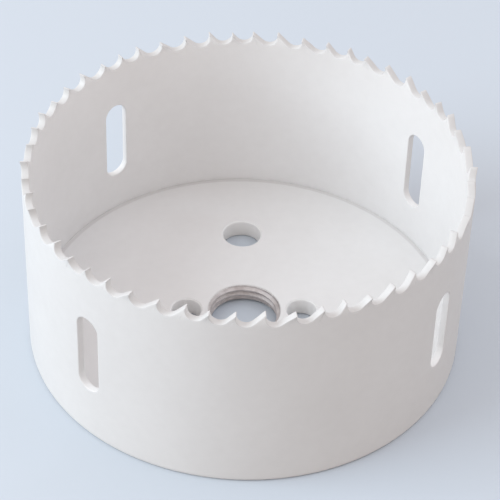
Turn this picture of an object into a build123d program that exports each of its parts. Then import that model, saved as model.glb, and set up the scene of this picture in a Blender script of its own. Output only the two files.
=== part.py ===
from build123d import *
import os
from itertools import cycle
from math import asin, atan2, cos, degrees, hypot, pi, radians, sin

# Hole saw for a threaded arbor: a toothed steel strip rolled into a cup wall and welded round a backing plate.
# Sizes are millimetres. Z is the saw's axis, the plate's outside face lies at Z 0 and the teeth point up.
# Angles are degrees round Z from X, counter-clockwise as seen from the teeth.

# Wall
BODY_DIAMETER = 94.2
WALL_THICKNESS = 1.6
OVERALL_HEIGHT = 45.7
BOTTOM_EDGE_RADIUS = 0.7

# Teeth: the pitches repeat along the strip, and what is left over falls across the strip's weld
PITCH_RUN = (5.8, 5.5, 4.7, 5.1, 5.7)
SHORTEST_WELD_PITCH = 4.5
FIRST_TIP_ANGLE = 9.8
GULLET_DEPTH = 2.6
GULLET_RADIUS = 1.4
RAKE_ANGLE = 7.0
TIP_LAND = 0.24

# Tooth set: each tooth is bent at a line just above its gullets, one straight, one in, one out
TOOTH_SET = 0.4
SET_ORDER = (0, -1, 1)
BEND_ABOVE_GULLET = 0.5

# Slots punched through the wall, to lever a stuck core out; the two at the front sit a little lower
SLOT_ANGLES = (35.8, 131.7, 228.5, 329.5)
SLOT_MID_HEIGHTS = (23.5, 23.5, 22.9, 22.6)
SLOT_WIDTH = 5.6
SLOT_LENGTH = 19.6

# Backing plate
PLATE_THICKNESS = 4.4
GROOVE_WIDTH = 0.6
GROOVE_DEPTH = 0.3
PLATE_TWIST = 2.5

# Arbor thread 5/8-18, drawn as a bore of its minor diameter between two countersinks
THREAD_MAJOR_DIAMETER = 15.875
THREAD_DEPTH = 0.6875
COUNTERSINK_OVERSIZE = 0.3

# Holes for the arbor's two drive pins
PIN_HOLE_DIAMETER = 6.6
PIN_CIRCLE_DIAMETER = 25.4

# Knock-out holes, on the line across the drive pins' line
KNOCKOUT_DIAMETER = 8.6
KNOCKOUT_CIRCLE_DIAMETER = 51.2
HOLE_EDGE_BREAK = 0.3

# Radii and heights that follow from the sizes above
outer_radius = BODY_DIAMETER / 2
inner_radius = outer_radius - WALL_THICKNESS
mid_radius = (outer_radius + inner_radius) / 2
gullet_height = OVERALL_HEIGHT - GULLET_DEPTH
bend_height = gullet_height + BEND_ABOVE_GULLET


def plane_at(angle, radius, height):
    """Plane that faces away from the axis, with X along the wall and Y up."""
    outwards = Vector(1, 0, 0).rotate(Axis.Z, angle)
    along = Vector(0, 1, 0).rotate(Axis.Z, angle)
    return Plane(origin=outwards * radius + Vector(0, 0, height), x_dir=along, z_dir=outwards)


def section_plane(angle):
    """Upright half plane through the axis, with X away from the axis and Y up."""
    outwards = Vector(1, 0, 0).rotate(Axis.Z, angle)
    return Plane(origin=(0, 0, 0), x_dir=outwards, z_dir=Vector(0, -1, 0).rotate(Axis.Z, angle))


def tooth_steps():
    """Steps from each tooth tip to the next along the middle of the wall, the odd one last."""
    steps = []
    left_over = 2 * pi * mid_radius
    for pitch in cycle(PITCH_RUN):
        if left_over < pitch + SHORTEST_WELD_PITCH:
            break
        steps.append(pitch)
        left_over -= pitch
    return steps + [left_over]


class Gullet:
    """Outline of one gullet in its own plane: Y 0 is the height of the tips, X 0 is midway between two tips."""

    def __init__(self, step):
        self.half_span = mid_radius * sin(step / mid_radius / 2) - TIP_LAND / 2
        rake = radians(RAKE_ANGLE)
        # The round bottom touches the rake face of the tooth behind
        self.centre_y = GULLET_RADIUS - GULLET_DEPTH
        self.centre_x = -self.half_span + (GULLET_RADIUS + self.centre_y * sin(rake)) / cos(rake)
        self.rake_foot = self.on_circle(180 - RAKE_ANGLE)
        self.bottom = self.on_circle(-90)
        # The back of the tooth ahead is the line from its tip that touches the round bottom
        across = self.half_span - self.centre_x
        up = -self.centre_y
        self.back_slope = degrees(atan2(up, across) + asin(GULLET_RADIUS / hypot(across, up)))
        self.back_foot = self.on_circle(self.back_slope - 90)

    def on_circle(self, angle):
        """Point of the round bottom at an angle from X."""
        x = self.centre_x + GULLET_RADIUS * cos(radians(angle))
        y = self.centre_y + GULLET_RADIUS * sin(radians(angle))
        return (x, y)


steps = tooth_steps()
gullets = [Gullet(step) for step in steps]
step_angles = [degrees(step / mid_radius) for step in steps]
tip_angles = [FIRST_TIP_ANGLE + sum(step_angles[:i]) for i in range(len(steps))]
gullet_angles = [tip + step / 2 for tip, step in zip(tip_angles, step_angles)]
# Each tooth is bent on its own between the lowest points of the gullets beside it
split_angles = [
    angle + degrees(gullet.bottom[0] / mid_radius) for angle, gullet in zip(gullet_angles, gullets)
]

# Saw body: the wall up to the bend line
with BuildPart() as saw_body:
    with BuildSketch(section_plane(0)) as wall_section:
        with BuildLine():
            Polyline(
                (inner_radius, 0),
                (outer_radius, 0),
                (outer_radius, bend_height),
                (inner_radius, bend_height),
                close=True,
            )
        make_face()
        bottom_corners = wall_section.vertices().group_by(Axis.Y)[0]
        fillet(bottom_corners.sort_by(Axis.X)[-1], BOTTOM_EDGE_RADIUS)
    revolve(axis=Axis.Z)

    # Tooth blanks, each leaning by its own set
    blanks = []
    for i, start in enumerate(split_angles):
        end = split_angles[(i + 1) % len(steps)]
        lean = TOOTH_SET * SET_ORDER[(i + 1) % len(SET_ORDER)]
        with BuildSketch(section_plane(start)):
            with BuildLine():
                Polyline(
                    (inner_radius, bend_height),
                    (outer_radius, bend_height),
                    (outer_radius + lean, OVERALL_HEIGHT),
                    (inner_radius + lean, OVERALL_HEIGHT),
                    close=True,
                )
            make_face()
        blanks += revolve(axis=Axis.Z, revolution_arc=(end - start) % 360, mode=Mode.PRIVATE).solids()
    add(blanks)

    # Gullets, milled straight through the wall
    cut_start = inner_radius - 2 * TOOTH_SET
    cut_length = WALL_THICKNESS + 4 * TOOTH_SET
    for angle, gullet in zip(gullet_angles, gullets):
        with BuildSketch(plane_at(angle, cut_start, OVERALL_HEIGHT)):
            with BuildLine():
                Line((-gullet.half_span, 0), gullet.rake_foot)
                ThreePointArc(gullet.rake_foot, gullet.bottom, gullet.back_foot)
                Polyline(
                    gullet.back_foot,
                    (gullet.half_span, 0),
                    (gullet.half_span, TOOTH_SET),
                    (-gullet.half_span, TOOTH_SET),
                    (-gullet.half_span, 0),
                )
            make_face()
    extrude(amount=cut_length, mode=Mode.SUBTRACT)

    # Upright slots with round ends
    for angle, mid_height in zip(SLOT_ANGLES, SLOT_MID_HEIGHTS):
        with BuildSketch(plane_at(angle, cut_start, mid_height)):
            SlotOverall(SLOT_LENGTH, SLOT_WIDTH, rotation=90)
    extrude(amount=cut_length, mode=Mode.SUBTRACT)
saw_body.part.label = "saw_body"

# Backing plate: a disc with a shallow groove left at the wall, above and below
with BuildPart() as backing_plate:
    with BuildSketch(section_plane(0)):
        with BuildLine():
            Polyline(
                (0, 0),
                (inner_radius - GROOVE_WIDTH, 0),
                (inner_radius, GROOVE_DEPTH),
                (inner_radius, PLATE_THICKNESS - GROOVE_DEPTH),
                (inner_radius - GROOVE_WIDTH, PLATE_THICKNESS),
                (0, PLATE_THICKNESS),
                close=True,
            )
        make_face()
    revolve(axis=Axis.Z)

    # Threaded bore for the arbor, countersunk at both faces to just past the thread
    Hole(THREAD_MAJOR_DIAMETER / 2 - THREAD_DEPTH)
    countersink_depth = THREAD_DEPTH + COUNTERSINK_OVERSIZE / 2
    chamfer(backing_plate.edges(Select.LAST).filter_by(GeomType.CIRCLE), countersink_depth)

    # Drive pin holes and knock-out holes, with their edges broken
    with PolarLocations(PIN_CIRCLE_DIAMETER / 2, 2, start_angle=PLATE_TWIST):
        Hole(PIN_HOLE_DIAMETER / 2)
    chamfer(backing_plate.edges(Select.LAST).filter_by(GeomType.CIRCLE), HOLE_EDGE_BREAK)
    with PolarLocations(KNOCKOUT_CIRCLE_DIAMETER / 2, 2, start_angle=PLATE_TWIST + 90):
        Hole(KNOCKOUT_DIAMETER / 2)
    chamfer(backing_plate.edges(Select.LAST).filter_by(GeomType.CIRCLE), HOLE_EDGE_BREAK)
backing_plate.part.label = "backing_plate"

os.makedirs("parts", exist_ok=True)
export_step(saw_body.part, "parts/saw_body.step")
export_step(backing_plate.part, "parts/backing_plate.step")
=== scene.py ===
"""Looks of a hole saw: its toothed wall, backing plate and arbor thread, on a pale floor in soft light."""

import logging
from dataclasses import dataclass
from enum import Enum
from itertools import cycle
from math import ceil, cos, pi, radians, sin, tan, tau
from typing import Mapping, NamedTuple, Sequence, TypeAlias

import bmesh
import bpy
from bpy.types import Material, Mesh, Node, NodeSocket, NodeTree, Object
from mathutils import Matrix, Vector


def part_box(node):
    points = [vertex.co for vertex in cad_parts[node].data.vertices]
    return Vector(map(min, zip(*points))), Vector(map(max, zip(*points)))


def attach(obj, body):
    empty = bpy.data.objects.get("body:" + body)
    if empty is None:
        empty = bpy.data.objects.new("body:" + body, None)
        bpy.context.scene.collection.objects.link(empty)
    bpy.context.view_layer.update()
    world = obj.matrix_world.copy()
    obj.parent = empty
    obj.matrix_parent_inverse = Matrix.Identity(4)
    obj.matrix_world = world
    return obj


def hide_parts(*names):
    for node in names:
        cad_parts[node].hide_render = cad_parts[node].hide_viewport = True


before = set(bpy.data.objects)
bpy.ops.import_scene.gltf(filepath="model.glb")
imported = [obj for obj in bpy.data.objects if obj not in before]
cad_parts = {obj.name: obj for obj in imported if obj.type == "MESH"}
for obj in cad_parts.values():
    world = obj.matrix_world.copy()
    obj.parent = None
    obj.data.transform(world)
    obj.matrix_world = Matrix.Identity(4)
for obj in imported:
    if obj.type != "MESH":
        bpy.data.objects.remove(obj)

MM = 0.001
# Attribute on the milled tooth faces that carries their painted shade
MILLED_SHADE = "milled"
# Attribute on the walls of the paired holes that carries their painted light
PAINTED_HOLE_LIGHT = "pooled"
WELD_DISTANCE = 0.002 * MM

Operand: TypeAlias = "Term | float"
Colour: TypeAlias = tuple[float, float, float, float]
Profile: TypeAlias = list[tuple[float, float]]
Numbers: TypeAlias = Sequence[Mapping[str, float]]
Settings: TypeAlias = Mapping[str, object] | None
Inputs: TypeAlias = Mapping[str | int, object] | None

log = logging.getLogger("hole saw")


@dataclass(frozen=True)
class Term:
    """A socket in an expression: arithmetic on it adds Math nodes to its tree."""

    graph: "Graph"
    socket: NodeSocket

    def __add__(self, other: Operand) -> "Term":
        """Sum."""
        return self.graph.math("ADD", self, other)

    __radd__ = __add__

    def __sub__(self, other: Operand) -> "Term":
        """Difference."""
        return self.graph.math("SUBTRACT", self, other)

    def __rsub__(self, other: float) -> "Term":
        """Difference from a number."""
        return self.graph.math("SUBTRACT", other, self)

    def __mul__(self, other: Operand) -> "Term":
        """Product."""
        return self.graph.math("MULTIPLY", self, other)

    __rmul__ = __mul__

    def __truediv__(self, other: Operand) -> "Term":
        """Quotient."""
        return self.graph.math("DIVIDE", self, other)

    def __pow__(self, power: float) -> "Term":
        """Power."""
        return self.graph.math("POWER", self, power)

    def __neg__(self) -> "Term":
        """Opposite."""
        return self * -1.0

    def __abs__(self) -> "Term":
        """Size without its sign."""
        return self.graph.math("ABSOLUTE", self)

    def __lt__(self, limit: Operand) -> "Term":
        """1 where it is less than the limit, else 0."""
        return self.graph.math("LESS_THAN", self, limit)

    def __gt__(self, limit: Operand) -> "Term":
        """1 where it is more than the limit, else 0."""
        return self.graph.math("GREATER_THAN", self, limit)

    def sin(self) -> "Term":
        """Sine."""
        return self.graph.math("SINE", self)

    def cos(self) -> "Term":
        """Cosine."""
        return self.graph.math("COSINE", self)

    def at_least(self, low: Operand) -> "Term":
        """The larger of it and low."""
        return self.graph.math("MAXIMUM", self, low)

    def at_most(self, high: Operand) -> "Term":
        """The smaller of it and high."""
        return self.graph.math("MINIMUM", self, high)

    def towards(self, other: Operand, share: Operand) -> "Term":
        """Value that share of the way to the other."""
        return self + (other - self) * share


class Graph:
    """Builds one node tree."""

    def __init__(self, tree: NodeTree) -> None:
        """Starts on a tree."""
        self.tree = tree

    def add(self, kind: str, settings: Settings = None, inputs: Inputs = None) -> Node:
        """Adds a node.

        Args:
            kind: The node's type.
            settings: Its properties, set first.
            inputs: Values or Terms for its sockets, by name or number.

        Returns:
            The node.
        """
        node = self.tree.nodes.new(kind)
        for name, value in (settings or {}).items():
            setattr(node, name, value)
        for key, value in (inputs or {}).items():
            self.feed(node.inputs[key], value)
        return node

    def feed(self, socket: NodeSocket, value: object) -> None:
        """Links a Term to a socket, or gives the socket a plain value.

        Args:
            socket: The socket.
            value: The Term or the value.
        """
        if isinstance(value, Term):
            self.tree.links.new(value.socket, socket)
        else:
            socket.default_value = value

    def take(
        self, kind: str, settings: Settings = None, inputs: Inputs = None, output: int | str = 0
    ) -> Term:
        """Adds a node and gives one of its outputs, by name or number."""
        return Term(self, self.add(kind, settings, inputs).outputs[output])

    def math(self, operation: str, *values: Operand) -> Term:
        """Result of a Math node on values in order."""
        return self.take("ShaderNodeMath", {"operation": operation}, dict(enumerate(values)))

    def combine(self, x: Operand, y: Operand, z: Operand) -> Term:
        """Vector from three numbers."""
        return self.take("ShaderNodeCombineXYZ", inputs={0: x, 1: y, 2: z})

    def split(self, vector: Term) -> tuple[Term, Term, Term]:
        """The three numbers of a vector."""
        node = self.add("ShaderNodeSeparateXYZ", inputs={0: vector})
        return tuple(Term(self, output) for output in node.outputs)


class ShapeGraph(Graph):
    """A Geometry Nodes tree with named inputs, run on a mesh of points or cells."""

    def __init__(self, name: str) -> None:
        """Makes the tree with its geometry going in and out.

        Args:
            name: The tree's name.
        """
        super().__init__(bpy.data.node_groups.new(name, "GeometryNodeTree"))
        sockets = self.tree.interface
        sockets.new_socket("Geometry", in_out="INPUT", socket_type="NodeSocketGeometry")
        sockets.new_socket("Geometry", in_out="OUTPUT", socket_type="NodeSocketGeometry")
        self.entry = self.tree.nodes.new("NodeGroupInput")
        self.exit = self.tree.nodes.new("NodeGroupOutput")
        self.values: dict[str, object] = {}

    @property
    def start(self) -> Term:
        """The geometry that comes in."""
        return Term(self, self.entry.outputs[0])

    def given(self, name: str, value: object, kind: str = "NodeSocketFloat") -> Term:
        """Adds a named input.

        Args:
            name: The input's name.
            value: What the modifier gives it.
            kind: The socket's type.

        Returns:
            The input as a Term.
        """
        item = self.tree.interface.new_socket(name, in_out="INPUT", socket_type=kind)
        self.values[item.identifier] = value
        socket = next(s for s in self.entry.outputs if s.identifier == item.identifier)
        return Term(self, socket)

    def shape(self, name: str, source: Object) -> Term:
        """Geometry of a helper object, as a named input."""
        helper = self.given(name, source, "NodeSocketObject")
        return self.take("GeometryNodeObjectInfo", inputs={"Object": helper}, output="Geometry")

    def stored(self, name: str) -> Term:
        """A number stored on the points under a name."""
        kind = "GeometryNodeInputNamedAttribute"
        return self.take(kind, {"data_type": "FLOAT"}, {"Name": name}, "Attribute")

    def place(self) -> tuple[Term, Term, Term]:
        """The three coordinates of each point."""
        return self.split(self.take("GeometryNodeInputPosition"))

    def move(self, geometry: Term, position: Term) -> Term:
        """Geometry with its points at a position."""
        return self.take("GeometryNodeSetPosition", inputs={"Geometry": geometry, "Position": position})

    def copies(self, points: Term, shape: Term) -> Term:
        """A copy of a shape at each point, as real geometry."""
        instances = self.take("GeometryNodeInstanceOnPoints", inputs={"Points": points, "Instance": shape})
        return self.take("GeometryNodeRealizeInstances", inputs={"Geometry": instances})

    def joined(self, *parts: Term) -> Term:
        """Joins geometries.

        Args:
            parts: The geometries.

        Returns:
            All of them as one.
        """
        node = self.add("GeometryNodeJoinGeometry")
        for part in parts:
            self.tree.links.new(part.socket, node.inputs[0])
        return Term(self, node.outputs[0])

    def welded(self, geometry: Term) -> Term:
        """Geometry with the points that coincide made one."""
        inputs = {"Geometry": geometry, "Distance": WELD_DISTANCE}
        return self.take("GeometryNodeMergeByDistance", inputs=inputs)

    def finish(self, geometry: Term, material: Material) -> None:
        """Ends the tree: smooth, real geometry in a material.

        Args:
            geometry: What the tree made.
            material: The material of every face.
        """
        smooth = self.take("GeometryNodeSetShadeSmooth", inputs={"Geometry": geometry})
        real = self.take("GeometryNodeRealizeInstances", inputs={"Geometry": smooth})
        dressed = self.take("GeometryNodeSetMaterial", inputs={"Geometry": real, "Material": material})
        self.tree.links.new(dressed.socket, self.exit.inputs[0])

    def grow(self, name: str, source: Mesh, material: Material) -> Object:
        """Runs the tree on a mesh and keeps the result as a plain closed mesh.

        Args:
            name: The piece's name.
            source: The mesh that the tree starts from.
            material: The piece's material.

        Returns:
            The piece, linked to the scene.
        """
        helper = link_mesh(f"{name}_source", source)
        modifier = helper.modifiers.new("shape", "NODES")
        modifier.node_group = self.tree
        for identifier, value in self.values.items():
            modifier[identifier] = value
        depsgraph = bpy.context.evaluated_depsgraph_get()
        mesh = bpy.data.meshes.new_from_object(helper.evaluated_get(depsgraph), depsgraph=depsgraph)
        helper.modifiers.remove(modifier)
        for used in [helper, *self.values.values()]:
            if isinstance(used, Object):
                bpy.data.objects.remove(used)
        for spent in [a.name for a in mesh.attributes if a.domain == "POINT" and a.data_type == "FLOAT"]:
            if spent not in (MILLED_SHADE, PAINTED_HOLE_LIGHT):
                mesh.attributes.remove(mesh.attributes[spent])
        face_outwards(mesh)
        mesh.name = name
        mesh.materials.clear()
        mesh.materials.append(material)
        return link_mesh(name, mesh)


def link_mesh(name: str, mesh: Mesh) -> Object:
    """Puts a mesh in the scene.

    Args:
        name: The object's name.
        mesh: The mesh.

    Returns:
        The object.
    """
    obj = bpy.data.objects.new(name, mesh)
    bpy.context.scene.collection.objects.link(obj)
    return obj


def face_outwards(mesh: Mesh) -> None:
    """Turns every face of a closed mesh outwards.

    Args:
        mesh: The closed mesh.
    """
    work = bmesh.new()
    work.from_mesh(mesh)
    bmesh.ops.recalc_face_normals(work, faces=work.faces)
    if work.calc_volume(signed=True) < 0:
        bmesh.ops.reverse_faces(work, faces=work.faces)
    work.to_mesh(mesh)
    work.free()


def point_mesh(
    name: str, points: Sequence[Mapping[str, object]], faces: Sequence[Sequence[int]] = ()
) -> Mesh:
    """Mesh with numbers stored on its points.

    Args:
        name: The mesh's name.
        points: For each point its "at", a place, and the numbers stored on it.
        faces: The points of each face, with none for loose points.

    Returns:
        The mesh.
    """
    mesh = bpy.data.meshes.new(name)
    mesh.from_pydata([point["at"] for point in points], [], faces)
    for key in [key for key in points[0] if key != "at"]:
        stored = mesh.attributes.new(key, "FLOAT", "POINT")
        stored.data.foreach_set("value", [point[key] for point in points])
    return mesh


def cell_mesh(name: str, columns: Numbers, rows: Numbers) -> Mesh:
    """Grid of faces, each point of which has its column's and its row's numbers stored on it.

    Args:
        name: The mesh's name.
        columns: The numbers of each column.
        rows: The numbers of each row.

    Returns:
        The mesh.
    """
    points = []
    for i, column in enumerate(columns):
        points += [{"at": (i, j, 0), **column, **row} for j, row in enumerate(rows)]
    count = len(rows)
    corners = [i * count + j for i in range(len(columns) - 1) for j in range(count - 1)]
    return point_mesh(name, points, [(n, n + count, n + count + 1, n + 1) for n in corners])


def quarter(steps: int) -> list[float]:
    """Angles from 0 to a right angle in equal steps."""
    return [pi / 2 * i / steps for i in range(steps + 1)]


class Paint(Graph):
    """Shader tree of one material, from which a finish makes its colour, gloss and relief."""

    def __init__(self, name: str) -> None:
        """Makes the material.

        Args:
            name: The material's name.
        """
        self.material = bpy.data.materials.new(name)
        self.material.use_nodes = True
        super().__init__(self.material.node_tree)
        self.shader = self.tree.nodes["Principled BSDF"]
        self.place = self.take("ShaderNodeTexCoord", output="Object")

    def noise(self, grain: float, detail: float = 2.0) -> Term:
        """Soft noise from 0 to 1, with the width of its spots in metres and its number of finer layers."""
        inputs = {"Vector": self.place, "Scale": 1 / grain, "Detail": detail}
        return self.take("ShaderNodeTexNoise", inputs=inputs, output="Fac")

    def own(self, name: str) -> Term:
        """A piece's own stored attribute, 0 where it has none."""
        return self.take("ShaderNodeAttribute", {"attribute_name": name}, output="Fac")

    def colour(self, share: Term, first: Sequence[float] | Term, second: Sequence[float] | Term) -> Term:
        """Colour that share of the way from the first to the second."""
        settings = {"data_type": "RGBA", "clamp_factor": True}
        return self.take("ShaderNodeMix", settings, {0: share, 6: first, 7: second}, 2)

    def set(self, socket: str, value: object) -> None:
        """Gives a value or a Term to one of the shader's sockets."""
        self.feed(self.shader.inputs[socket], value)

    def relief(self, height: Term, depth: float) -> None:
        """Shapes the surface by a height from 0 to 1, where the depth is what 1 is in metres."""
        inputs = {"Height": height, "Distance": depth, "Strength": 1.0}
        self.set("Normal", self.take("ShaderNodeBump", inputs=inputs))


def rgb(red: float, green: float, blue: float) -> Colour:
    """Opaque colour."""
    return (red, green, blue, 1.0)


@dataclass(frozen=True)
class SatinPaint:
    """White satin paint sprayed over steel, with an orange peel skin over the grain of the rolled strip."""

    name: str = "white_satin_paint"
    bright: Colour = rgb(0.825, 0.82, 0.818)
    dull: Colour = rgb(0.79, 0.783, 0.78)
    cloud: float = 22 * MM
    cloud_detail: float = 3.0
    cloud_share: float = 0.7
    speck: float = 2.2 * MM
    dull_tones: tuple[float, float] = (0.35, 0.65)
    peel: float = 0.9 * MM
    peel_depth: float = 0.02 * MM
    peel_share: float = 0.8
    gloss: tuple[float, float] = (0.40, 0.50)
    gloss_by_speck: float = 0.6
    specular: float = 0.45
    # Painted shade along the wall-plate groove, partly standing for thin paint over the weld
    seam: Colour = rgb(0.71, 0.70, 0.695)
    seam_radius: float = 44.95 * MM
    seam_width: float = 0.6 * MM
    seam_level: float = 4.4 * MM
    seam_fade: float = 0.25 * MM
    ragged_grain: float = 1.5 * MM
    ragged: float = 0.25 * MM
    # Painted shade on the milled tooth faces, to dim their bright lit streak
    milled: Colour = rgb(0.70, 0.695, 0.69)
    # Painted light that brightens the walls of the pin and knock-out holes
    pooled: Colour = rgb(0.95, 0.945, 0.94)

    def seam_mask(self, paint: Paint) -> Term:
        """Painted shade along the groove between wall and plate, partly standing for thin paint over the
        weld.

        Args:
            paint: The material's shader tree.

        Returns:
            1 in the groove, 0 away from it.
        """
        x, y, z = paint.split(paint.place)
        radius = (x * x + y * y) ** 0.5
        ragged = (paint.noise(self.ragged_grain) - 0.5) * self.ragged
        across = self.seam_width - abs(radius - self.seam_radius) + ragged
        level = self.seam_width - abs(z - self.seam_level)
        return (across.at_most(level) / self.seam_fade).at_least(0.0).at_most(1.0)

    def material(self) -> Material:
        """Mixes the finish.

        Returns:
            The material.
        """
        paint = Paint(self.name)
        cloud = paint.noise(self.cloud, self.cloud_detail)
        speck = paint.noise(self.speck)
        skin = paint.noise(self.peel)
        light, dark = self.dull_tones
        tone = (speck.towards(cloud, self.cloud_share) - light) / (dark - light)
        coat = paint.colour(tone, self.bright, self.dull)
        # The milled tooth faces get painted shade, to dim their bright lit streak
        teeth_shaded = paint.colour(paint.own(MILLED_SHADE), coat, self.milled)
        # The walls of the pin and knock-out holes get painted light
        hole_lit_coat = paint.colour(paint.own(PAINTED_HOLE_LIGHT), teeth_shaded, self.pooled)
        # The groove gets painted shade, partly standing for thin paint over the weld
        paint.set("Base Color", paint.colour(self.seam_mask(paint), hole_lit_coat, self.seam))
        low, high = self.gloss
        paint.set("Roughness", low + (high - low) * cloud.towards(speck, self.gloss_by_speck))
        paint.set("Specular IOR Level", self.specular)
        paint.relief(speck.towards(skin, self.peel_share), self.peel_depth)
        return paint.material


@dataclass(frozen=True)
class CutThread:
    """Bare cut steel of the arbor thread, dark with oil, with the paint's overspray at both mouths."""

    name: str = "bare_cut_thread"
    steel: Colour = rgb(0.72, 0.68, 0.67)
    oiled: Colour = rgb(0.53, 0.485, 0.475)
    spray: Colour = rgb(0.80, 0.79, 0.78)
    stain: float = 1.6 * MM
    stain_detail: float = 3.0
    stain_start: float = 0.3
    stain_contrast: float = 2.5
    mist: float = 0.35 * MM
    mist_reach: float = 1.2
    mist_depth: float = 0.01 * MM
    middle: float = 2.2 * MM
    bare_reach: float = 1.85 * MM
    spray_fade: float = 0.3 * MM
    metallic: float = 0.5
    gloss: tuple[float, float] = (0.42, 0.62)

    def material(self) -> Material:
        """Mixes the finish.

        Returns:
            The material.
        """
        paint = Paint(self.name)
        _, _, z = paint.split(paint.place)
        stain = paint.noise(self.stain, self.stain_detail)
        mist = paint.noise(self.mist)
        metal = paint.colour((stain - self.stain_start) * self.stain_contrast, self.oiled, self.steel)
        beyond = abs(z - self.middle) - self.bare_reach
        reach = beyond / self.spray_fade + (mist - 0.5) * self.mist_reach
        cover = reach.at_least(0.0).at_most(1.0)
        paint.set("Base Color", paint.colour(cover, metal, self.spray))
        paint.set("Metallic", (1.0 - cover) * self.metallic)
        low, high = self.gloss
        paint.set("Roughness", low + (high - low) * stain)
        paint.relief(mist, self.mist_depth)
        return paint.material


@dataclass(frozen=True)
class PaleFloor:
    """Plain pale studio floor."""

    name: str = "pale_floor"
    seen: Colour = rgb(0.60, 0.66, 0.73)
    bounced: Colour = rgb(0.36, 0.36, 0.36)
    roughness: float = 0.8

    def material(self) -> Material:
        """Mixes the finish.

        Returns:
            The material.
        """
        paint = Paint(self.name)
        rays = paint.add("ShaderNodeLightPath").outputs
        kinds = ("Is Camera Ray", "Is Glossy Ray", "Is Transmission Ray")
        camera, glossy, through = (Term(paint, rays[kind]) for kind in kinds)
        direct = camera.at_least(glossy).at_least(through)
        paint.set("Base Color", paint.colour(direct, self.bounced, self.seen))
        paint.set("Roughness", self.roughness)
        return paint.material


class Station(NamedTuple):
    """A point of the wall's section, and so a row of each tooth cell."""

    side: float
    inset: float
    drop: float
    height: float
    milled: float = 0.0


class Column(NamedTuple):
    """A column of each tooth cell: how far round the gullet, how far up a straight face, and its corner."""

    turn: float
    pull: float
    land: float = 0.0
    corner: float = 0.0
    corner_x: float = 0.0
    corner_z: float = 0.0


class Spoke(NamedTuple):
    """A column of a slot's collar: its place on the window's border and on the slot's outline."""

    frame_u: float
    frame_v: float
    run: float
    turn_x: float
    turn_z: float

    def opposite(self) -> "Spoke":
        """The column across the slot."""
        return Spoke(*(-value for value in self))


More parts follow.
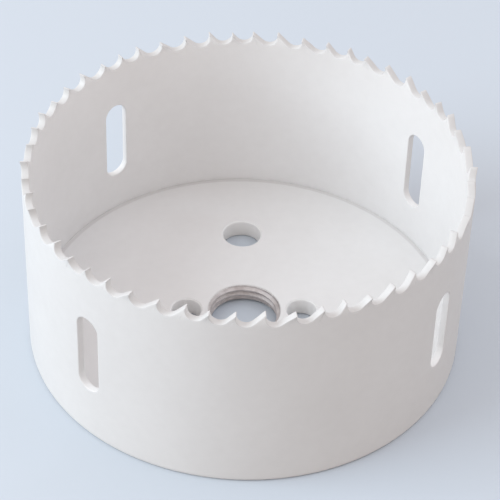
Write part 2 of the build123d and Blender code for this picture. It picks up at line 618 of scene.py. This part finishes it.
@dataclass
class ToothedWall:
    """The saw's wall: a toothed strip with four slots, rolled round the backing plate."""

    height: float
    inner_radius: float
    thickness: float = 1.6 * MM
    bottom_round: float = 0.7 * MM
    inner_bottom_round: float = 0.15 * MM
    pitch_run: tuple[float, ...] = (5.8 * MM, 5.5 * MM, 4.7 * MM, 5.1 * MM, 5.7 * MM)
    shortest_weld_pitch: float = 4.5 * MM
    first_tip_angle: float = radians(9.8)
    # Depth at the longest pitch of the run, and how much less it is for each unit that a pitch is shorter
    gullet_depth: float = 2.6 * MM
    depth_by_pitch: float = 0.35
    gullet_radius: float = 1.9 * MM
    rake_angle: float = radians(7)
    tip_land: float = 0.24 * MM
    # Rounding of the tooth edges, and which way it draws in the two corners of a tip
    tooth_round: float = 0.15 * MM
    rake_corner: tuple[float, float] = (-0.6, -1.0)
    back_corner: tuple[float, float] = (0.3, -1.0)
    # The set changes from one tooth to the next at this share of the gullet's round
    tooth_set: float = 0.4 * MM
    set_order: tuple[int, ...] = (0, -1, 1)
    set_change: float = 0.7
    bend_above_gullet: float = 0.5 * MM
    bend_ease: float = 0.25
    # The mesh's columns run down to a root line under the gullets, and from a tip also this far back
    root_below_gullet: float = 0.5 * MM
    root_lead: float = 1.2 * MM
    tooth_drops: tuple[float, ...] = (0.75, 0.5, 0.25, 0.08, 0.0)
    slot_angles: tuple[float, ...] = (radians(35.8), radians(131.7), radians(228.5), radians(329.5))
    slot_width: float = 5.6 * MM
    slot_length: float = 19.6 * MM
    slot_mid_heights: tuple[float, ...] = (23.5 * MM, 23.5 * MM, 22.9 * MM, 22.6 * MM)
    slot_round: float = 0.2 * MM
    slot_hold: float = 0.5 * MM
    # Each slot lies in a window of the strip's mesh, which its collar fills
    window_mid_height: float = 23.5 * MM
    window_margin: float = 2.5 * MM
    window_columns: int = 34
    window_rows: int = 4
    window_spreads: tuple[float, ...] = (1.0, 0.6, 0.25, 0.0)
    arc_columns: int = 10
    rake_columns: int = 3
    back_columns: int = 5
    foot_row: float = 0.4 * MM
    bottom_steps: int = 5
    edge_steps: int = 3
    slot_steps: int = 4

    def __post_init__(self) -> None:
        """Works out the sizes that follow from the others."""
        self.mid_radius = self.inner_radius + self.thickness / 2
        self.bend_height = self.height - self.gullet_depth + self.bend_above_gullet
        self.root_height = self.height - self.gullet_depth - self.root_below_gullet
        self.steps = self.tooth_steps()
        first_tip = self.first_tip_angle * self.mid_radius
        self.tips = [first_tip + sum(self.steps[:i]) for i in range(len(self.steps))]
        self.even_step = tau * self.mid_radius / len(self.steps)
        drift = sum(tip - i * self.even_step for i, tip in enumerate(self.tips)) / len(self.tips)
        self.even_start = drift - self.root_lead / 2
        self.column_width = self.even_step / (len(self.tooth_columns()) - 1)
        self.window_width = self.window_columns * self.column_width
        self.window_height = self.slot_length + 2 * self.window_margin

    def tooth_steps(self) -> list[float]:
        """Steps from each tooth tip to the next along the middle of the wall, the odd one last.

        Returns:
            The steps in metres.
        """
        steps: list[float] = []
        left_over = tau * self.mid_radius
        for pitch in cycle(self.pitch_run):
            if left_over < pitch + self.shortest_weld_pitch:
                break
            steps.append(pitch)
            left_over -= pitch
        return steps + [left_over]

    def tooth_points(self) -> Mesh:
        """A point for each tooth tip on the flat strip, with its step, place on the even grid and leans.

        Returns:
            The mesh of points.
        """
        leans = [self.tooth_set * self.set_order[i % len(self.set_order)] for i in range(len(self.steps))]
        points = [
            {
                "at": (tip, 0, 0),
                "tip_x": tip,
                "step": step,
                "even_x": self.even_start + i * self.even_step,
                "lean_behind": leans[i],
                "lean_ahead": leans[(i + 1) % len(leans)],
            }
            for i, (tip, step) in enumerate(zip(self.tips, self.steps))
        ]
        return point_mesh("tooth_points", points)

    def tooth_columns(self) -> list[dict[str, float]]:
        """Columns of the tooth cell, from the middle of one tip land to the middle of the next.

        Returns:
            The numbers of each column, with its share of the way along the cell.
        """
        columns = [Column(0, -1, -1, 1, 0, -1), Column(0, -1, 0, 1, *self.rake_corner)]
        columns += [Column(0, i / self.rake_columns - 1) for i in range(1, self.rake_columns)]
        columns += [Column(i / self.arc_columns, 0) for i in range(self.arc_columns + 1)]
        columns += [Column(1, i / self.back_columns) for i in range(1, self.back_columns)]
        columns += [Column(1, 1, 0, 1, *self.back_corner), Column(1, 1, 1, 1, 0, -1)]
        last = len(columns) - 1
        return [{**column._asdict(), "share": i / last} for i, column in enumerate(columns)]

    def stations(self) -> list[Station]:
        """The wall's section as a loop from the middle of its bottom, up the outside and down the inside.

        Returns:
            Its points.
        """
        half = self.thickness / 2
        window_foot = self.window_mid_height - self.window_height / 2
        window_row = self.window_height / self.window_rows
        levels = [window_foot + i * window_row for i in range(self.window_rows + 1)]
        levels = [window_foot / 2, *levels, (levels[-1] + self.root_height) / 2, self.root_height]
        edge = self.tooth_round

        def face(side: int, foot: float) -> list[Station]:
            """Rows of one face of the wall, from its bottom round up to its tooth edge.

            Args:
                side: 1 for the outside, -1 for the inside.
                foot: Radius of its bottom round.

            Returns:
                The rows.
            """
            rows = []
            for a in quarter(self.bottom_steps):
                rows.append(Station(side * (1 - foot * (1 - sin(a)) / half), 0, 1, foot * (1 - cos(a))))
            rows += [Station(side, 0, 1, level) for level in (foot + self.foot_row, *levels)]
            rows += [Station(side, edge, drop, self.root_height) for drop in self.tooth_drops]
            # The rows round the tooth edge carry the painted shade of the milled faces
            for a in quarter(self.edge_steps)[1:]:
                rows.append(Station(side * (1 - edge * (1 - cos(a)) / half), edge * (1 - sin(a)), 0, 0, 1))
            return rows

        outside = face(1, self.bottom_round)
        inside = reversed(face(-1, self.inner_bottom_round))
        bottom = Station(0, 0, 1, 0)
        return [bottom, *outside, Station(0, 0, 0, 0, 1), *inside, bottom]

    def slot_points(self) -> Mesh:
        """A point for each slot on the flat strip, at the middle of the window that its collar fills.

        Returns:
            The mesh of points.
        """
        points = []
        for angle, mid_height in zip(self.slot_angles, self.slot_mid_heights):
            along = angle * self.mid_radius
            first = round((along - self.even_start) / self.column_width - self.window_columns / 2)
            middle = self.even_start + (first + self.window_columns / 2) * self.column_width
            slot = {"slot_x": along, "slot_z": mid_height, "window_x": middle}
            points.append({"at": (middle, 0, self.window_mid_height), **slot})
        return point_mesh("slot_points", points)

    def slot_collar(self) -> Mesh:
        """Cell that fills a slot's window: rings from its border to the slot's edge and through the wall.

        Returns:
            The mesh.
        """
        across = [i / self.window_columns for i in range(self.window_columns)]
        upright = [i / self.window_rows for i in range(self.window_rows)]
        spokes = [Spoke(u - 0.5, 0.5, 1, -cos(pi * u), sin(pi * u)) for u in across]
        spokes += [Spoke(0.5, 0.5 - v, 1 - 2 * v, 1, 0) for v in upright]
        spokes += [spoke.opposite() for spoke in spokes]
        columns = [spoke._asdict() for spoke in (*spokes, spokes[0])]
        half = self.thickness / 2
        outside = [{"spread": share, "grow": self.slot_hold, "side": 1.0} for share in self.window_spreads]
        for angle in quarter(self.slot_steps):
            grow = self.slot_round * (1 - sin(angle))
            side = 1 - self.slot_round * (1 - cos(angle)) / half
            outside.append({"spread": 0.0, "grow": grow, "side": side})
        inside = [{**row, "side": -row["side"]} for row in reversed(outside)]
        return cell_mesh("slot_collar", columns, outside + inside)

    def place_teeth(self, graph: ShapeGraph) -> Term:
        """Copies the tooth cell along the strip and shapes each copy to its own step.

        Args:
            graph: The wall's tree.

        Returns:
            The strip on the flat, X along it, Y through it and Z up.
        """
        rows = [station._asdict() for station in self.stations()]
        cell = link_mesh("tooth_cell", cell_mesh("tooth_cell", self.tooth_columns(), rows))
        strip = graph.copies(graph.start, graph.shape("Tooth Cell", cell))
        stored = graph.stored
        height = graph.given("Height", self.height)
        deepest = graph.given("Gullet Depth", self.gullet_depth)
        radius = graph.given("Gullet Radius", self.gullet_radius)
        rake = graph.given("Rake Angle", self.rake_angle)
        land = graph.given("Tip Land", self.tip_land)
        bend = graph.given("Bend Height", self.bend_height)
        root = graph.given("Root Height", self.root_height)

        # The shorter the pitch, the less deep the gullet, as one cutter leaves it
        depth = deepest - (max(self.pitch_run) - stored("step")).at_least(0.0) * self.depth_by_pitch
        # The gullet's round bottom touches the rake face behind it and the back of the tooth ahead
        centre_z = radius - depth
        centre_x = (radius + centre_z * rake.sin()) / rake.cos()
        across = stored("step") - land - centre_x
        reach = across * across + centre_z * centre_z
        slope = graph.math("ARCTAN2", -centre_z, across) + graph.math("ARCSINE", radius / reach**0.5)
        back = (reach - radius * radius) ** 0.5
        face = (-centre_z - radius * rake.sin()) / rake.cos()
        angle = pi - rake + stored("turn") * (pi / 2 + rake + slope)
        pulled = stored("pull").at_least(0.0) * back + stored("pull").at_most(0.0) * face
        out_x, out_z = angle.cos(), angle.sin()
        edge_x = land / 2 + centre_x + radius * out_x - pulled * out_z + stored("land") * land / 2
        edge_z = centre_z + radius * out_z + pulled * out_x

        # Rows run from the outline down to the root line, and below it onto an even grid
        inset = stored("inset")
        top_x = edge_x + inset * out_x.towards(stored("corner_x"), stored("corner"))
        top_z = height + edge_z + inset * out_z.towards(stored("corner_z"), stored("corner"))
        root_x = edge_x - self.root_lead * (1 + edge_z / depth)
        even_x = stored("even_x") + stored("share") * self.even_step - stored("tip_x")
        window_top = self.window_mid_height + self.window_height / 2
        ramp = ((root - stored("height")) / (root - window_top)).at_least(0.0).at_most(1.0)
        x = top_x.towards(root_x.towards(even_x, ramp), stored("drop"))
        z = top_z.towards(stored("height"), stored("drop"))

        # Each tooth leans by its own set above the bend line
        lean = stored("lean_behind").towards(stored("lean_ahead"), stored("turn") > self.set_change)
        risen = (z - bend).at_least(0.0) / (height - bend)
        leaning = lean * (1 + self.bend_ease) * risen * risen / (risen + self.bend_ease)
        y = stored("side") * self.thickness / 2 + leaning
        return graph.move(strip, graph.combine(stored("tip_x") + x, y, z))

    def cut_slots(self, graph: ShapeGraph, strip: Term) -> Term:
        """Takes the slots' windows out of the strip and fills them with collars.

        Args:
            graph: The wall's tree.
            strip: The strip on the flat.

        Returns:
            The slotted strip.
        """
        points = graph.shape("Slot Points", link_mesh("slot_points", self.slot_points()))
        collar = graph.shape("Slot Collar", link_mesh("slot_collar", self.slot_collar()))
        width = graph.given("Slot Width", self.slot_width)
        length = graph.given("Slot Length", self.slot_length)
        settings = {"domain": "POINT"}
        nearest = graph.take("GeometryNodeSampleNearest", settings, {"Geometry": points}, "Index")
        settings = {"data_type": "FLOAT_VECTOR", "domain": "POINT"}
        inputs = {"Geometry": points, "Value": graph.take("GeometryNodeInputPosition"), "Index": nearest}
        window_x, _, window_z = graph.split(graph.take("GeometryNodeSampleIndex", settings, inputs))
        strip_x, _, strip_z = graph.place()
        beside = abs(strip_x - window_x) < self.window_width / 2
        level = abs(strip_z - window_z) < self.window_height / 2
        settings = {"domain": "FACE", "mode": "ALL"}
        inputs = {"Geometry": strip, "Selection": beside * level}
        open_strip = graph.take("GeometryNodeDeleteGeometry", settings, inputs)

        stored = graph.stored
        radius = width / 2 + stored("grow")
        edge_x = stored("slot_x") + radius * stored("turn_x")
        edge_z = stored("slot_z") + stored("run") * (length - width) / 2 + radius * stored("turn_z")
        frame_x = stored("window_x") + stored("frame_u") * self.window_width
        frame_z = self.window_mid_height + stored("frame_v") * self.window_height
        x = edge_x.towards(frame_x, stored("spread"))
        y = stored("side") * self.thickness / 2
        z = edge_z.towards(frame_z, stored("spread"))
        collars = graph.move(graph.copies(points, collar), graph.combine(x, y, z))
        return graph.joined(open_strip, collars)

    def build(self, material: Material) -> Object:
        """Builds the wall and puts it in the frame.

        Args:
            material: Its paint.

        Returns:
            The piece.
        """
        graph = ShapeGraph("toothed wall")
        strip = self.cut_slots(graph, self.place_teeth(graph))
        mid_radius = graph.given("Mid Radius", self.mid_radius)
        x, y, z = graph.place()
        angle = x / mid_radius
        radius = mid_radius + y
        rolled = graph.move(strip, graph.combine(radius * angle.cos(), radius * angle.sin(), z))
        graph.finish(graph.welded(rolled), material)
        wall = graph.grow("toothed_wall", self.tooth_points(), material)
        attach(wall, "root")
        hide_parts("saw_body")
        return wall


class Corner(NamedTuple):
    """Corner of a turned profile: radius from the axis, height, and the radius that rounds it."""

    radius: float
    height: float
    rounding: float = 0.0


def rounded(corners: Sequence[Corner], steps: int = 4) -> Profile:
    """Turned profile with its corners rounded.

    Args:
        corners: The profile's corners in order.
        steps: Edges in each rounding.

    Returns:
        Radius and height of each point.
    """
    points = [Vector((c.radius, c.height)) for c in corners]
    profile = []
    for i, corner in enumerate(corners):
        if corner.rounding == 0.0:
            profile.append(tuple(points[i]))
            continue
        before = (points[i - 1] - points[i]).normalized()
        after = (points[i + 1] - points[i]).normalized()
        half_angle = before.angle(after) / 2
        centre = points[i] + (before + after).normalized() * (corner.rounding / sin(half_angle))
        first = points[i] + before * (corner.rounding / tan(half_angle)) - centre
        last = points[i] + after * (corner.rounding / tan(half_angle)) - centre
        for step in range(steps + 1):
            turned = first.normalized().slerp(last.normalized(), step / steps)
            profile.append(tuple(centre + turned * corner.rounding))
    return profile


class Ring(NamedTuple):
    """Ring of faces in the plate, turned from a profile and copied round a circle."""

    name: str
    profile: Profile
    columns: int
    circle: float = 0.0
    start: float = 0.0
    count: int = 1


@dataclass
class BackingPlate:
    """The disc welded into the wall's foot, with its bore, drive pin holes and knock-out holes."""

    radius: float
    thickness: float
    groove_width: float = 0.6 * MM
    groove_depth: float = 0.3 * MM
    groove_fill: float = 0.25 * MM
    twist: float = radians(2.5)
    bore_radius: float = 8.0875 * MM
    pin_hole_radius: float = 3.3 * MM
    pin_circle_radius: float = 12.7 * MM
    knockout_radius: float = 4.3 * MM
    knockout_circle_radius: float = 25.6 * MM
    edge_break: float = 0.3 * MM
    edge_round: float = 0.12 * MM
    mouth_round: float = 0.072 * MM
    rim_round: float = 0.06 * MM
    flat_hold: float = 0.3 * MM
    rim_columns: int = 288
    hole_columns: int = 72

    def turned(self, ring: Ring) -> Object:
        """Turns a ring's profile round its axis, with painted light on the walls of the paired holes
        between their mouths.

        Args:
            ring: The ring.

        Returns:
            The helper object.
        """
        name = f"{ring.name} ring"
        columns = [{"turned": tau * i / ring.columns} for i in range(ring.columns + 1)]
        rows = []
        for radius, height in ring.profile:
            # Rows inside the paired holes carry painted light
            pooled = ring.count > 1 and self.in_hole(height)
            rows.append({"out": radius, "up": height, PAINTED_HOLE_LIGHT: float(pooled)})
        return link_mesh(name, cell_mesh(name, columns, rows))

    def in_hole(self, height: float) -> bool:
        """Whether a height lies between the broken edges of the holes."""
        return self.edge_break / 2 < height < self.thickness - self.edge_break / 2

    def both_faces(self, top: Sequence[Corner]) -> Profile:
        """Rounded profile from the plate's top face to its bottom face, which mirror each other."""
        bottom = [corner._replace(height=self.thickness - corner.height) for corner in reversed(top)]
        return rounded([*top, *bottom])

    def hole_profile(self, radius: float, edge_break: float) -> Profile:
        """Profile of a hole, from the plate's top face down to its bottom face.

        Args:
            radius: The hole's radius.
            edge_break: Chamfer at both ends.

        Returns:
            Radius and height of its points.
        """
        mouth = radius + edge_break
        top = [Corner(mouth + self.flat_hold, self.thickness)]
        if edge_break:
            top.append(Corner(mouth, self.thickness, self.edge_round))
            top.append(Corner(radius, self.thickness - edge_break, self.edge_round))
        else:
            top.append(Corner(radius, self.thickness, self.mouth_round))
        return self.both_faces(top)

    def rim_profile(self) -> Profile:
        """Profile of the plate's rim, from its top face down to its bottom face.

        Returns:
            Radius and height of its points.
        """
        groove = self.radius - self.groove_width
        groove_floor = self.thickness - self.groove_depth + self.groove_fill
        top = [
            Corner(groove - self.flat_hold, self.thickness),
            Corner(groove, self.thickness, self.edge_round),
            Corner(self.radius, groove_floor, self.rim_round),
        ]
        return self.both_faces(top)

    def ring_points(self, ring: Ring) -> Object:
        """A point for each copy of a ring, with its centre stored on it.

        Args:
            ring: The ring.

        Returns:
            The helper object.
        """
        name = f"{ring.name} points"
        points = []
        for i in range(ring.count):
            angle = ring.start + tau * i / ring.count
            centre = {"centre_x": ring.circle * cos(angle), "centre_y": ring.circle * sin(angle)}
            points.append({"at": (0, 0, 0), **centre})
        return link_mesh(name, point_mesh(name, points))

    def build(self, material: Material) -> Object:
        """Builds the plate and puts it in the frame.

        Args:
            material: Its paint.

        Returns:
            The piece.
        """
        graph = ShapeGraph("backing plate")
        bore = self.hole_profile(self.bore_radius, 0.0)
        pin = self.hole_profile(self.pin_hole_radius, self.edge_break)
        knockout = self.hole_profile(self.knockout_radius, self.edge_break)
        columns = self.hole_columns
        rings = [
            Ring("Rim", self.rim_profile(), self.rim_columns),
            Ring("Bore", bore, columns),
            Ring("Pin Hole", pin, columns, self.pin_circle_radius, self.twist, 2),
            Ring("Knockout", knockout, columns, self.knockout_circle_radius, self.twist + pi / 2, 2),
        ]
        parts = []
        for ring in rings:
            faces = graph.shape(f"{ring.name} Ring", self.turned(ring))
            points = graph.shape(f"{ring.name} Points", self.ring_points(ring))
            parts.append(graph.copies(points, faces))
        out, turned = graph.stored("out"), graph.stored("turned")
        x = graph.stored("centre_x") + out * turned.cos()
        y = graph.stored("centre_y") + out * turned.sin()
        sides = graph.welded(graph.move(graph.joined(*parts), graph.combine(x, y, graph.stored("up"))))

        # The flat faces fill what the rings leave open at the top and at the bottom
        thickness = graph.given("Thickness", self.thickness)
        _, _, z = graph.place()
        neighbours = graph.take("GeometryNodeInputMeshEdgeNeighbors", output="Face Count")
        lids = []
        for above in (True, False):
            level = z > thickness / 2 if above else z < thickness / 2
            border = (neighbours < 2) * level
            loops = graph.take("GeometryNodeMeshToCurve", inputs={"Mesh": sides, "Selection": border})
            face = graph.take("GeometryNodeFillCurve", inputs={"Curve": loops})
            px, py, _ = graph.place()
            raised = graph.move(face, graph.combine(px, py, thickness if above else 0.0))
            lids.append(raised if above else graph.take("GeometryNodeFlipFaces", inputs={"Mesh": raised}))
        graph.finish(graph.welded(graph.joined(sides, *lids)), material)
        plate = graph.grow("plate_disc", point_mesh("plate_start", [{"at": (0, 0, 0)}]), material)
        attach(plate, "root")
        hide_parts("backing_plate")
        return plate


@dataclass
class ArborThread:
    """The right-handed thread cut in the plate's bore, countersunk at both mouths."""

    plate_thickness: float
    mouth_radius: float
    mouth_inset: float
    major_radius: float = 7.9375 * MM
    minor_radius: float = 7.25 * MM
    pitch: float = 25.4 / 18 * MM
    # Shares of the pitch for crest, root and softened corners, and share of the depth for the corners
    crest: float = 0.25
    root: float = 0.125
    soften: float = 0.04
    ease: float = 0.1
    spare_turns: int = 2
    columns: int = 96

    def turn_rows(self, turn: int) -> list[dict[str, float]]:
        """Rows of one turn of the thread.

        Args:
            turn: Its number from the bottom.

        Returns:
            Height at the start of the turn and radius for each row.
        """
        soften = self.soften
        root_start = (1 + self.crest - self.root) / 2
        root_end = root_start + self.root
        shape = [
            (soften, 0.0),
            (self.crest - soften, 0.0),
            (self.crest + soften, self.ease),
            (root_start - soften, 1 - self.ease),
            (root_start + soften, 1.0),
            (root_end - soften, 1.0),
            (root_end + soften, 1 - self.ease),
            (1 - soften, self.ease),
        ]
        depth = self.major_radius - self.minor_radius
        rows = []
        for share, cut in shape:
            rows.append({"rise": (turn + share) * self.pitch, "out": self.minor_radius + depth * cut})
        return rows

    def build(self, material: Material) -> Object:
        """Builds the thread and puts it in the frame.

        Args:
            material: Its bare steel.

        Returns:
            The piece.
        """
        low, high = self.mouth_inset, self.plate_thickness - self.mouth_inset
        turns = range(-self.spare_turns, ceil(self.plate_thickness / self.pitch) + self.spare_turns)
        rows = [row for turn in turns for row in self.turn_rows(turn)]
        # The last row is the first again, so the sleeve closes behind the thread
        rows.append(dict(rows[0]))
        columns = [{"turned": tau * i / self.columns} for i in range(self.columns + 1)]
        graph = ShapeGraph("arbor thread")
        pitch = graph.given("Pitch", self.pitch)
        mouth = graph.given("Mouth Radius", self.mouth_radius)
        turned = graph.stored("turned")
        lead = graph.stored("rise") + pitch * turned / tau
        z = lead.at_least(low).at_most(high)
        cone = mouth - (z - low).at_most(high - z)
        beyond = abs(lead - z) > 0.0
        radius = graph.stored("out").at_least(cone).at_most(mouth).towards(mouth, beyond)
        helix = graph.move(graph.start, graph.combine(radius * turned.cos(), radius * turned.sin(), z))
        graph.finish(graph.welded(helix), material)
        thread = graph.grow("arbor_thread", cell_mesh("thread_cell", columns, rows), material)
        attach(thread, "root")
        return thread


class Lamp(NamedTuple):
    """A square lamp: its direction from the saw, distance and size in metres, power in watts and colour."""

    azimuth: float
    height: float
    distance: float
    size: float
    power: float
    colour: tuple[float, float, float]


class Light(Enum):
    """The studio's lamps."""

    KEY = Lamp(radians(-165.0), radians(31.0), 0.9, 0.6, 5.7, (0.80, 0.92, 1.0))
    FILL = Lamp(radians(20.0), radians(55.0), 0.9, 0.6, 1.0, (0.67, 0.81, 1.0))


@dataclass
class Studio:
    """Floor, lamps and camera of the photograph's view."""

    aim_height: float = 21.195 * MM
    elevation: float = radians(41.12)
    distance: float = 441.98 * MM
    roll: float = radians(2.013)
    turn_right: float = radians(0.107)
    turn_up: float = radians(0.047)
    lens: float = 148.09
    sensor: float = 36.0
    near: float = 0.01
    far: float = 20.0
    floor_size: float = 6.0
    sky: Colour = rgb(1.0, 0.928, 0.901)
    sky_strength: float = 0.83

    def lay_floor(self, material: Material) -> None:
        """Lays the floor under the saw.

        Args:
            material: The floor's material.
        """
        half = self.floor_size / 2
        mesh = bpy.data.meshes.new("floor")
        corners = [(-half, -half, 0), (half, -half, 0), (half, half, 0), (-half, half, 0)]
        mesh.from_pydata(corners, [], [range(len(corners))])
        mesh.materials.append(material)
        link_mesh("floor", mesh)

    def hang_lamps(self) -> None:
        """Hangs the lamps and lights the room evenly round them."""
        aim = Vector((0, 0, self.aim_height))
        for light in Light:
            wanted = light.value
            lamp = bpy.data.lights.new(light.name.lower(), "AREA")
            lamp.shape = "SQUARE"
            lamp.size = wanted.size
            lamp.energy = wanted.power
            lamp.color = wanted.colour
            level = cos(wanted.height)
            away = Vector((cos(wanted.azimuth) * level, sin(wanted.azimuth) * level, sin(wanted.height)))
            holder = bpy.data.objects.new(light.name.lower(), lamp)
            holder.location = aim + away * wanted.distance
            holder.rotation_euler = away.to_track_quat("Z", "Y").to_euler()
            bpy.context.scene.collection.objects.link(holder)
        world = bpy.data.worlds.new("room")
        world.use_nodes = True
        background = world.node_tree.nodes["Background"]
        background.inputs["Color"].default_value = self.sky
        background.inputs["Strength"].default_value = self.sky_strength
        bpy.context.scene.world = world

    def set_camera(self) -> None:
        """Sets up the camera at the photograph's angle, for a square picture."""
        camera = bpy.data.cameras.new("camera")
        camera.lens = self.lens
        camera.sensor_width = self.sensor
        camera.clip_start = self.near
        camera.clip_end = self.far
        holder = bpy.data.objects.new("camera", camera)
        back = Vector((0, -cos(self.elevation), sin(self.elevation)))
        place = Matrix.Translation(Vector((0, 0, self.aim_height)) + back * self.distance)
        tilt = Matrix.Rotation(pi / 2 - self.elevation, 4, "X") @ Matrix.Rotation(self.roll, 4, "Z")
        trim = Matrix.Rotation(-self.turn_right, 4, "Y") @ Matrix.Rotation(self.turn_up, 4, "X")
        holder.matrix_world = place @ tilt @ trim
        bpy.context.scene.collection.objects.link(holder)
        bpy.context.scene.camera = holder
        bpy.context.scene.view_settings.view_transform = "Standard"


def main() -> None:
    """Builds the saw and its studio, and reports each piece."""
    logging.basicConfig(level=logging.INFO, format="%(message)s")
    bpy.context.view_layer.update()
    paint = SatinPaint().material()
    plate_low, plate_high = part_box("backing_plate")
    _, body_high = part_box("saw_body")
    plate_radius = (plate_high.x - plate_low.x) / 2
    plate_thickness = plate_high.z - plate_low.z

    studio = Studio()
    studio.set_camera()
    studio.hang_lamps()
    studio.lay_floor(PaleFloor().material())

    pieces = [ToothedWall(height=body_high.z, inner_radius=plate_radius).build(paint)]
    plate = BackingPlate(radius=plate_radius, thickness=plate_thickness)
    pieces.append(plate.build(paint))
    thread = ArborThread(plate_thickness, plate.bore_radius, plate.mouth_round)
    pieces.append(thread.build(CutThread().material()))
    for piece in pieces:
        log.info("%s: %d faces", piece.name, len(piece.data.polygons))


if __name__ == "__main__":
    main()
